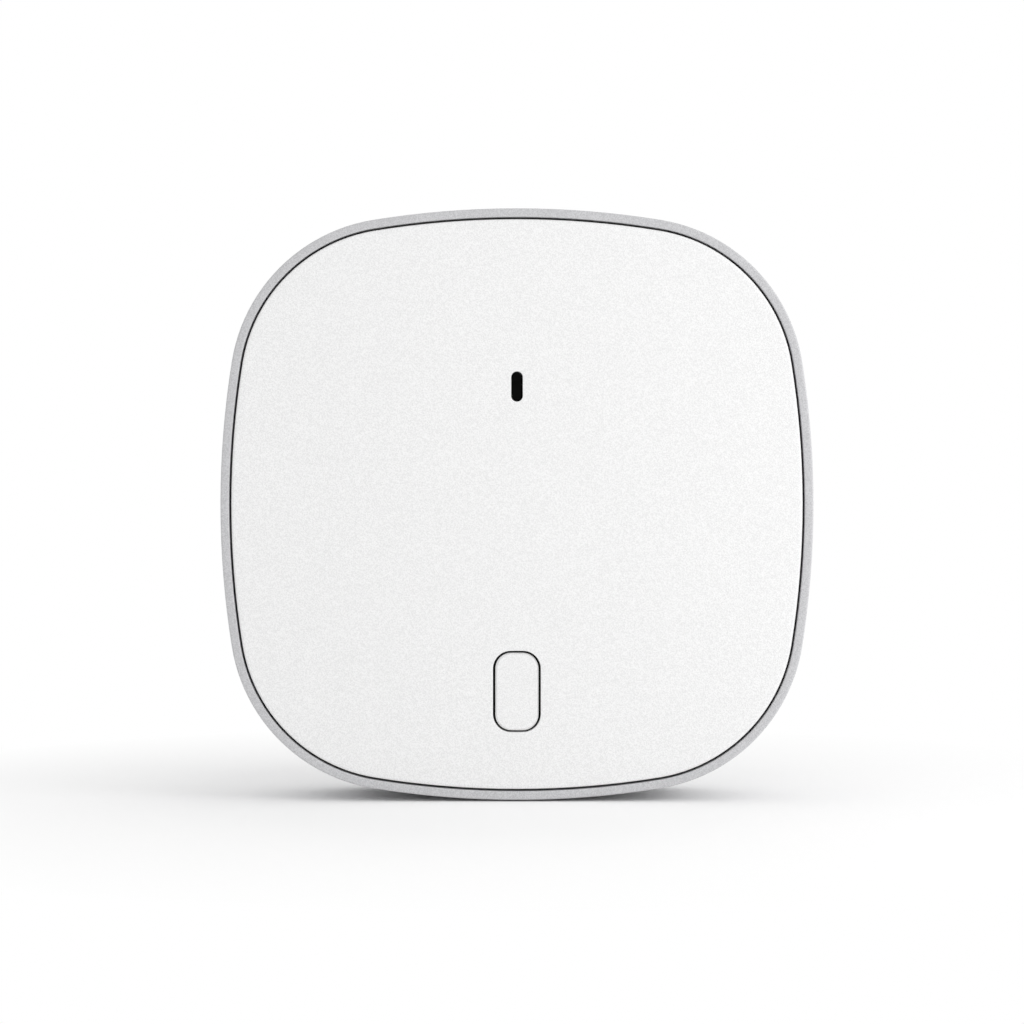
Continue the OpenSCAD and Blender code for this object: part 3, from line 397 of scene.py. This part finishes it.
# Front cover: the white plate let into the lip, moulded with a fine sand texture, and hooked
# into the inner frame from behind. It has the button's window and the slot for the status light.
cover_inset = half_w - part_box("front_cover")[1].x
step_inset, middle_inset, face_inset = 2.27 * mm, 9 * mm, cover_inset + 0.7 * mm
cover_back, step_y = front + 2 * mm, front + 0.9 * mm
cover_round, step_round, foot_round = 0.3 * mm, 0.05 * mm, 0.1 * mm
cap_low, cap_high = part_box("button_cap")
key_z = (cap_low.z + cap_high.z) / 2
window_x, window_z = -0.0175 * mm, key_z + 0.025 * mm
window_w, window_h, window_r = 6.465 * mm, 10.98 * mm, 2.43 * mm
lens_low, lens_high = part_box("status_lens")
slot_z, slot_w, slot_h = (lens_low.z + lens_high.z) / 2, 1.56 * mm, 4.07 * mm
opening_steps, edge_break, cutter_over = 12, 0.06 * mm, 1 * mm
plate = bmesh.new()
sweep_round(plate, [(middle_inset, cover_back, 0), (step_inset, cover_back, foot_round),
                    (step_inset, step_y, 0), (cover_inset, step_y, step_round),
                    (cover_inset, front, cover_round), (face_inset, front, 0), (middle_inset, front, 0)])
open_edges = [e for e in plate.edges if e.is_boundary]
bmesh.ops.edgeloop_fill(plate, edges=[e for e in open_edges if e.verts[0].co.y > step_y])
bmesh.ops.edgeloop_fill(plate, edges=[e for e in open_edges if e.verts[0].co.y < step_y])
cover = make_piece("cover", plate)
window = bmesh.new()
for opening in (rounded(window, window_x, window_z, window_w, window_h, window_r, opening_steps),
                rounded(window, 0, slot_z, slot_w, slot_h, slot_w / 2, opening_steps)):
    draw_out(window, opening, [(cover_back + cutter_over, 0), (front + edge_break, 0),
                               (front - cutter_over, edge_break + cutter_over)])
carve(cover, make_piece("window", window), "DIFFERENCE")
cover_white = moulded("cover_plastic", pit_shade=srgb(236, 236, 236), land=srgb(252, 252, 252), grain=6700,
                      depth=0.45, smooth=0.5, matt=0.7)
coat(cover, cover_white)
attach(cover, "casing")
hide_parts("front_cover")

# Button cap: a white key of the cover's own plastic, moulded with a narrow slope round its face.
# The stem under it runs in the inner frame, with two snap legs and a nub over the switch.
button_w, button_h = cap_high.x - cap_low.x, cap_high.z - cap_low.z
button_r, button_steps = 2.14 * mm, 10
face_y, under_y = cap_low.y, front + 1.45 * mm
slope_w, slope_deep, slope_round = 0.27 * mm, 0.34 * mm, 0.05 * mm
slope_steps, face_band, level_within = 3, 0.5 * mm, 0.01 * mm
key = bmesh.new()
draw_out(key, rounded(key, 0, key_z, button_w, button_h, button_r, button_steps),
         [(under_y, 0), (face_y + slope_deep, 0), (face_y, -slope_w)])
slope_ends = [e for e in key.edges if max(v.co.y for v in e.verts) < under_y - level_within
              and abs(e.verts[0].co.y - e.verts[1].co.y) < level_within]
soften(key, slope_ends, slope_round, slope_steps)


def front_face(bm):
    """The end face that looks to the front, the one there with more corners than any side face."""
    side_corners = 8
    return min((f for f in bm.faces if len(f.verts) > side_corners), key=lambda f: f.calc_center_median().y)


def keep_behind(piece, node, cut_y, sunk=0):
    """Joins to a piece what its solid carries behind cut_y, with the cut sunk into the piece."""
    rear = bmesh.new()
    rear.from_mesh(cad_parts[node].data)
    bmesh.ops.remove_doubles(rear, verts=rear.verts, dist=weld)
    bmesh.ops.bisect_plane(rear, geom=rear.verts[:] + rear.edges[:] + rear.faces[:], dist=weld / 20,
                           plane_co=(0, cut_y, 0), plane_no=(0, 1, 0), clear_inner=True)
    rim = [e for e in rear.edges if e.is_boundary]
    bmesh.ops.translate(rear, vec=(0, -sunk, 0), verts=list({v for e in rim for v in e.verts}))
    bmesh.ops.holes_fill(rear, edges=rim, sides=0)
    carve(piece, make_piece(node + "_rear", rear), "UNION")


bmesh.ops.inset_region(key, faces=[front_face(key)], thickness=face_band, use_even_offset=True)
button = make_piece("button", key)
keep_behind(button, "button_cap", under_y + level_within, sunk=0.2 * mm)
coat(button, cover_white)
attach(button, "button")
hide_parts("button_cap")

# Status lens: a smoked clear rod, polished on its face and black while the lamp behind it is off.
# It stands in the cover's slot, a little behind the face, held by its shoulder under the inner frame.
lens_w, lens_h, lens_face = 1.3 * mm, 3.85 * mm, lens_low.y
lens_steps, crown, crown_steps, crown_band = 10, 0.08 * mm, 3, 0.25 * mm
rod_end, rod_joint = front + 3 * mm, front + 2.5 * mm
rod = bmesh.new()
draw_out(rod, rounded(rod, 0, slot_z, lens_w, lens_h, lens_w / 2, lens_steps),
         [(rod_end, 0), (lens_face + crown, 0)])
soften(rod, list(front_face(rod).edges), crown, crown_steps)
face = front_face(rod)
bmesh.ops.inset_region(rod, faces=[face], thickness=crown_band, use_even_offset=True)
bmesh.ops.translate(rod, vec=(0, -crown, 0), verts=face.verts)
lens = make_piece("lens", rod)
keep_behind(lens, "status_lens", rod_joint)
coat(lens, moulded("lens_plastic", pit_shade=srgb(3, 3, 3), land=srgb(6, 6, 6), grain=900,
                   depth=0.02, smooth=0.06, matt=0.1, specular=0.04))
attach(lens, "casing")
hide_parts("status_lens")

# Power inlet: a black moulded barrel jack on the board's back, its mouth in the plug bay.
# The square nose stops in the bay's wall, and the bore behind it holds the brass centre pin.
jack_low, jack_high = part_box("jack_body")
pin_low, pin_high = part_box("jack_pin")
axis_y = (pin_low.y + pin_high.y) / 2
block_h, block_round, block_steps = 3.5 * mm, 0.3 * mm, 3
barrel_r, barrel_len, barrel_z, barrel_steps = 4.4 * mm, 12 * mm, jack_low.z + 8.3 * mm, 48
foot_w, foot_z = 8.9 * mm, jack_low.z + 8.2 * mm
bore_section = ((0, -1), (4.55, -1), (3.15, 0.4), (3.15, 9.5), (0, 9.5))
pin_section = ((0, 0.8), (0.45, 0.85), (0.8, 1.05), (1, 1.4), (1, 9.2), (1.5, 9.2), (1.5, 14.3), (0, 14.3))
bore_steps, turned_steps = 64, 40


def brick(size, centre):
    """Square block of a size, at a place."""
    bm = bmesh.new()
    bmesh.ops.create_cube(bm, size=1)
    bmesh.ops.scale(bm, vec=size, verts=bm.verts)
    bmesh.ops.translate(bm, vec=centre, verts=bm.verts)
    return bm


def turned(points, centre, axis, steps):
    """Solid turned from a half section whose ends lie on the axis."""
    bm = bmesh.new()
    chain(bm, points)
    bmesh.ops.spin(bm, geom=bm.verts[:] + bm.edges[:], cent=centre, axis=axis, angle=2 * pi, steps=steps,
                   use_merge=True)
    return bm


def on_jack_axis(section, steps):
    """Solid turned on the jack's axis from (radius, height) in mm."""
    points = [(r * mm, axis_y, jack_low.z + z * mm) for r, z in section]
    return turned(points, (0, axis_y, 0), (0, 0, 1), steps)


block = brick((jack_high.x - jack_low.x, jack_high.y - jack_low.y, block_h),
              (0, (jack_low.y + jack_high.y) / 2, jack_low.z + block_h / 2))
soften(block, block.edges[:], block_round, block_steps)
jack = make_piece("jack", block)
barrel = bmesh.new()
bmesh.ops.create_cone(barrel, cap_ends=True, segments=barrel_steps, radius1=barrel_r, radius2=barrel_r,
                      depth=barrel_len, matrix=Matrix.Translation((0, axis_y, barrel_z)))
carve(jack, make_piece("barrel", barrel), "UNION")
foot = brick((foot_w, axis_y - jack_low.y, barrel_len), (0, (axis_y + jack_low.y) / 2, foot_z))
carve(jack, make_piece("foot", foot), "UNION")
carve(jack, make_piece("bore", on_jack_axis(bore_section, bore_steps)), "DIFFERENCE")
part_black = moulded("part_plastic", pit_shade=srgb(24, 24, 26), land=srgb(36, 36, 38), grain=2600,
                     depth=0.3, smooth=0.4, matt=0.6)
coat(jack, part_black)
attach(jack, "casing")
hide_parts("jack_body")

contact = make_piece("contact_pin", on_jack_axis(pin_section, turned_steps))

# the drawn or rolled metals: fine lines along the draw, and slow clouds in the gloss
score_deep = 0.05 * mm
drawn_lines, given, gives = start_group(
    "drawn_metal",
    [("Dull", "NodeSocketColor", (0.5, 0.5, 0.5, 1)), ("Bright", "NodeSocketColor", (0.7, 0.7, 0.7, 1)),
     ("Fine", "NodeSocketFloat", 0.25), ("Coarse", "NodeSocketFloat", 0.4)],
    surface)
at = place(drawn_lines, "ShaderNodeTexCoord")
along = place(drawn_lines, "ShaderNodeMapping", [(at.outputs["Object"], "Vector")], Scale=(9000, 9000, 700))
lines = place(drawn_lines, "ShaderNodeTexNoise", [(along.outputs["Vector"], "Vector")], Scale=1.0, Detail=2.0)
clouds = place(drawn_lines, "ShaderNodeTexNoise", [(at.outputs["Object"], "Vector")], Scale=700.0, Detail=3.0)
colour = place(drawn_lines, "ShaderNodeMix",
               [(clouds.outputs["Fac"], mix_share), (given.outputs["Dull"], mix_first),
                (given.outputs["Bright"], mix_second)], data_type="RGBA")
sheen = place(drawn_lines, "ShaderNodeMapRange",
              [(clouds.outputs["Fac"], "Value"), (given.outputs["Fine"], "To Min"),
               (given.outputs["Coarse"], "To Max")])
scores = place(drawn_lines, "ShaderNodeBump", [(lines.outputs["Fac"], "Height")], Strength=0.15,
               Distance=score_deep)
for source, socket in ((colour.outputs[mix_colour], "Color"), (sheen.outputs["Result"], "Roughness"),
                       (scores.outputs["Normal"], "Normal")):
    drawn_lines.links.new(source, gives.inputs[socket])


def metal(name, dull, bright, fine, coarse):
    """Bare metal as it leaves the draw, the roll or the plating bath."""
    return textured(name, drawn_lines, {"Dull": dull, "Bright": bright, "Fine": fine, "Coarse": coarse},
                    Metallic=1)


brass = metal("brass", dull=srgb(205, 168, 96), bright=srgb(232, 200, 130), fine=0.2, coarse=0.4)
coat(contact, brass)
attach(contact, "casing")
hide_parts("jack_pin")

# Housing screws: four zinc-plated pan head screws with a cross recess, sunk in the back's corners.
# They run through the seats in the housing into the posts of the inner frame.
screw_section = ((0, 7.7), (0.9, 7.66), (1.6, 7.5), (2.1, 7.2), (2.36, 6.85), (2.4, 6.55), (2.4, 6.2),
                 (1.25, 6.2), (1.25, -2.5), (0.6, -3.8), (0, -3.8))
screw_turns = (0.35, 1.1, 0.8, 0.1)
driver_tip, driver_top, driver_len, driver_flat, driver_y = 0.6 * mm, 2.2 * mm, 1.6 * mm, 0.22, 7.4 * mm
origin = (0, 0, 0)
one_screw = make_piece("one_screw", turned([(r * mm, y * mm, 0) for r, y in screw_section], origin, (0, 1, 0),
                                           turned_steps))
for turn in (0, pi / 2):
    driver = bmesh.new()
    bmesh.ops.create_cone(driver, cap_ends=True, segments=4, radius1=driver_tip, radius2=driver_top,
                          depth=driver_len, matrix=Matrix.Rotation(pi / 4, 4, "Z"))
    bmesh.ops.scale(driver, vec=(1, driver_flat, 1), verts=driver.verts)
    bmesh.ops.rotate(driver, cent=origin, matrix=Matrix.Rotation(turn, 3, "Z"), verts=driver.verts)
    bmesh.ops.rotate(driver, cent=origin, matrix=Matrix.Rotation(-pi / 2, 3, "X"), verts=driver.verts)
    bmesh.ops.translate(driver, vec=(0, driver_y, 0), verts=driver.verts)
    carve(one_screw, make_piece("driver", driver), "DIFFERENCE")
four = bmesh.new()
for (x, z), turn in zip(boss_places, screw_turns):
    kept = set(four.verts)
    four.from_mesh(one_screw.data)
    added = [v for v in four.verts if v not in kept]
    bmesh.ops.rotate(four, cent=origin, matrix=Matrix.Rotation(turn, 3, "Y"), verts=added)
    bmesh.ops.translate(four, vec=(x, 0, z), verts=added)
bpy.data.objects.remove(one_screw)
screws = make_piece("screws", four)
plated = metal("screw_steel", dull=srgb(176, 178, 182), bright=srgb(205, 207, 210), fine=0.22, coarse=0.42)
coat(screws, plated)
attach(screws, "casing")
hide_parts("housing_screws")
dress(plated, "board_screws")

# Boards: the glass-fibre main board with its green lacquer, and the network module's dark one.
# The main board hangs on the frame's posts, and the module is soldered to its front.
def laminate(name, lacquer, pool, track):
    """Lacquered board: the tracks show through as paler lines, and tinned vias as small dots."""
    material, tree, shader = blank(name)
    tin, weave_deep = srgb(196, 192, 172), 0.03 * mm
    at = place(tree, "ShaderNodeTexCoord")
    flat = place(tree, "ShaderNodeMapping", [(at.outputs["Object"], "Vector")], Rotation=(pi / 2, 0, 0))
    tracks = place(tree, "ShaderNodeTexBrick", [(flat.outputs["Vector"], "Vector")], offset=0.37,
                   Color1=lacquer, Color2=pool, Mortar=track, Scale=150.0, Mortar_Size=0.022, Brick_Width=2.6,
                   Row_Height=0.28)
    spread = place(tree, "ShaderNodeTexVoronoi", [(flat.outputs["Vector"], "Vector")],
                   voronoi_dimensions="2D", Scale=230.0)
    vias = place(tree, "ShaderNodeMapRange", [(spread.outputs["Distance"], "Value")],
                 From_Min=0.09, From_Max=0.07)
    colour = place(tree, "ShaderNodeMix",
                   [(vias.outputs["Result"], mix_share), (tracks.outputs["Color"], mix_first)],
                   data_type="RGBA")
    colour.inputs[mix_second].default_value = tin
    weave = place(tree, "ShaderNodeTexNoise", [(at.outputs["Object"], "Vector")], Scale=2400.0, Detail=2.0)
    gloss = place(tree, "ShaderNodeMapRange", [(weave.outputs["Fac"], "Value")], To_Min=0.28, To_Max=0.46)
    raised = place(tree, "ShaderNodeBump", [(weave.outputs["Fac"], "Height")], Strength=0.2,
                   Distance=weave_deep)
    for source, socket in ((colour.outputs[mix_colour], "Base Color"), (gloss.outputs["Result"], "Roughness"),
                           (raised.outputs["Normal"], "Normal")):
        tree.links.new(source, shader.inputs[socket])
    return material


dress(laminate("board_laminate", lacquer=srgb(26, 88, 58), pool=srgb(30, 94, 62), track=srgb(46, 116, 78)),
      "main_board")
dress(laminate("radio_laminate", lacquer=srgb(22, 30, 44), pool=srgb(25, 33, 48), track=srgb(42, 54, 74)),
      "radio_board")

# Board parts: chips and bases moulded in black, the switch, the lamp, the sounder and its foam ring.
# All are soldered to the main board. Only the sounder's face and ring can be made out, behind the
# sound holes.
dress(part_black, "switch_body", "processor", "memory_chip", "voltage_regulator", "capacitor_bases",
      "sounder_case", "sounder_base")
dress(moulded("plunger_plastic", pit_shade=srgb(44, 44, 46), land=srgb(58, 58, 60), grain=2600,
              depth=0.2, smooth=0.35, matt=0.5), "switch_plunger")
dress(moulded("led_plastic", pit_shade=srgb(226, 226, 218), land=srgb(240, 240, 234), grain=2600,
              depth=0.15, smooth=0.35, matt=0.5), "status_led")
dress(moulded("foam", pit_shade=srgb(26, 26, 27), land=srgb(52, 52, 54), grain=1800,
              depth=0.9, smooth=0.85, matt=0.98), "sounder_gasket")
dress(moulded("ferrite", pit_shade=srgb(52, 52, 54), land=srgb(72, 72, 74), grain=2200,
              depth=0.4, smooth=0.55, matt=0.75), "power_inductor")
dress(moulded("chip_ceramic", pit_shade=srgb(140, 120, 96), land=srgb(176, 156, 128), grain=2400,
              depth=0.2, smooth=0.4, matt=0.6), "chip_parts")

# Metal parts: screening cans and terminals of tinned sheet, drawn aluminium capacitor cans,
# the door radio's aerial of enamelled copper wire, and the sounder's brass disc.
dress(metal("sheet_metal", dull=srgb(176, 178, 180), bright=srgb(206, 208, 210), fine=0.25, coarse=0.45),
      "radio_shield", "transmitter_shield", "crystal", "jack_tabs", "switch_leads", "switch_dome")
dress(metal("can_aluminium", dull=srgb(196, 197, 199), bright=srgb(222, 223, 224), fine=0.25, coarse=0.4),
      "capacitor_cans")
dress(metal("copper_wire", dull=srgb(190, 116, 78), bright=srgb(218, 146, 104), fine=0.25, coarse=0.4),
      "transmitter_aerial")
dress(brass, "piezo_disc")

# Floor: a seamless white table top of coated paper, a hair under the casing's lower edge, which
# leaves the thin dark gap there. It keeps the shadow, and runs out to the white of the room
# further off.
floor_gap, floor_half = 0.2 * mm, 6
fade_from, fade_to = 45 * mm, 105 * mm
table = bmesh.new()
bmesh.ops.create_grid(table, x_segments=1, y_segments=1, size=floor_half,
                      matrix=Matrix.Translation((0, 0, -floor_gap)))
floor = make_piece("floor", table)
paper, sheet, paper_shader = blank("floor_paper")
paper_shader.inputs["Roughness"].default_value = 0.9
paper_shader.inputs["Specular IOR Level"].default_value = 0.0
paper_shader.inputs["Base Color"].default_value = (0.985, 0.985, 0.985, 1)
at = place(sheet, "ShaderNodeTexCoord")
away = place(sheet, "ShaderNodeVectorMath", [(at.outputs["Object"], 0)], operation="LENGTH")
fade = place(sheet, "ShaderNodeMapRange", [(away.outputs["Value"], "Value")],
             From_Min=fade_from, From_Max=fade_to)
path = place(sheet, "ShaderNodeLightPath")
share = place(sheet, "ShaderNodeMath", [(fade.outputs["Result"], 0), (path.outputs["Is Camera Ray"], 1)],
              operation="MULTIPLY")
glow = place(sheet, "ShaderNodeEmission", Color=(1, 1, 1, 1), Strength=1.0)
seen = place(sheet, "ShaderNodeMixShader",
             [(share.outputs[0], 0), (paper_shader.outputs[0], 1), (glow.outputs[0], 2)])
sheet.links.new(seen.outputs[0], sheet.nodes["Material Output"].inputs["Surface"])
coat(floor, paper)

# Light: an even white room, brighter overhead and behind, and one soft box close on the right,
# which gives the face its fall-off from right to left.
world = bpy.data.worlds.new("studio")
scene.world = world
world.use_nodes = True
sky = world.node_tree
sky.nodes.clear()
path = place(sky, "ShaderNodeLightPath")
seen = place(sky, "ShaderNodeMath", [(path.outputs["Is Camera Ray"], 0), (path.outputs["Is Glossy Ray"], 1)],
             operation="MAXIMUM")
seen = place(sky, "ShaderNodeMath", [(seen.outputs[0], 0), (path.outputs["Is Transmission Ray"], 1)],
             operation="MAXIMUM")
room = place(sky, "ShaderNodeBackground", Color=(1, 1, 1, 1), Strength=0.68)
white = place(sky, "ShaderNodeBackground", Color=(1, 1, 1, 1), Strength=1.0)
shown = place(sky, "ShaderNodeMixShader", [(seen.outputs[0], 0), (room.outputs[0], 1), (white.outputs[0], 2)])
place(sky, "ShaderNodeOutputWorld", [(shown.outputs[0], "Surface")])


def hang(name, kind, shine, **settings):
    """Hangs a lamp that shines along a direction."""
    lamp = bpy.data.lights.new(name, kind)
    for key, value in settings.items():
        setattr(lamp, key, value)
    holder = bpy.data.objects.new(name, lamp)
    scene.collection.objects.link(holder)
    holder.rotation_euler = Vector(shine).to_track_quat("-Z", "Y").to_euler()
    return holder


key_at, key_aim = Vector((0.3, -0.15, 0.12)), Vector((0, 0, 0.04))
key_box = hang("key_box", "AREA", key_aim - key_at, shape="SQUARE", size=0.2, energy=0.41)
key_box.location = key_at
hang("room_top", "SUN", (0, -0.05, -1), angle=radians(120), energy=0.45)
hang("room_back", "SUN", (-0.2, -1, -1), angle=radians(60), energy=0.22)

# Camera: straight on to the face, a little left of and below its centre, as the photo was taken.
# The focal length gives the photo's frame at that distance.
camera_x, camera_far, camera_z = -0.67 * mm, 0.33, 38.83 * mm
camera_data = bpy.data.cameras.new("camera")
camera = bpy.data.objects.new("camera", camera_data)
scene.collection.objects.link(camera)
camera.location = (camera_x, front - camera_far, camera_z)
camera.rotation_euler = (pi / 2, 0, 0)
camera_data.sensor_width = 36
camera_data.lens = 86.08
camera_data.clip_start = 0.01
scene.camera = camera
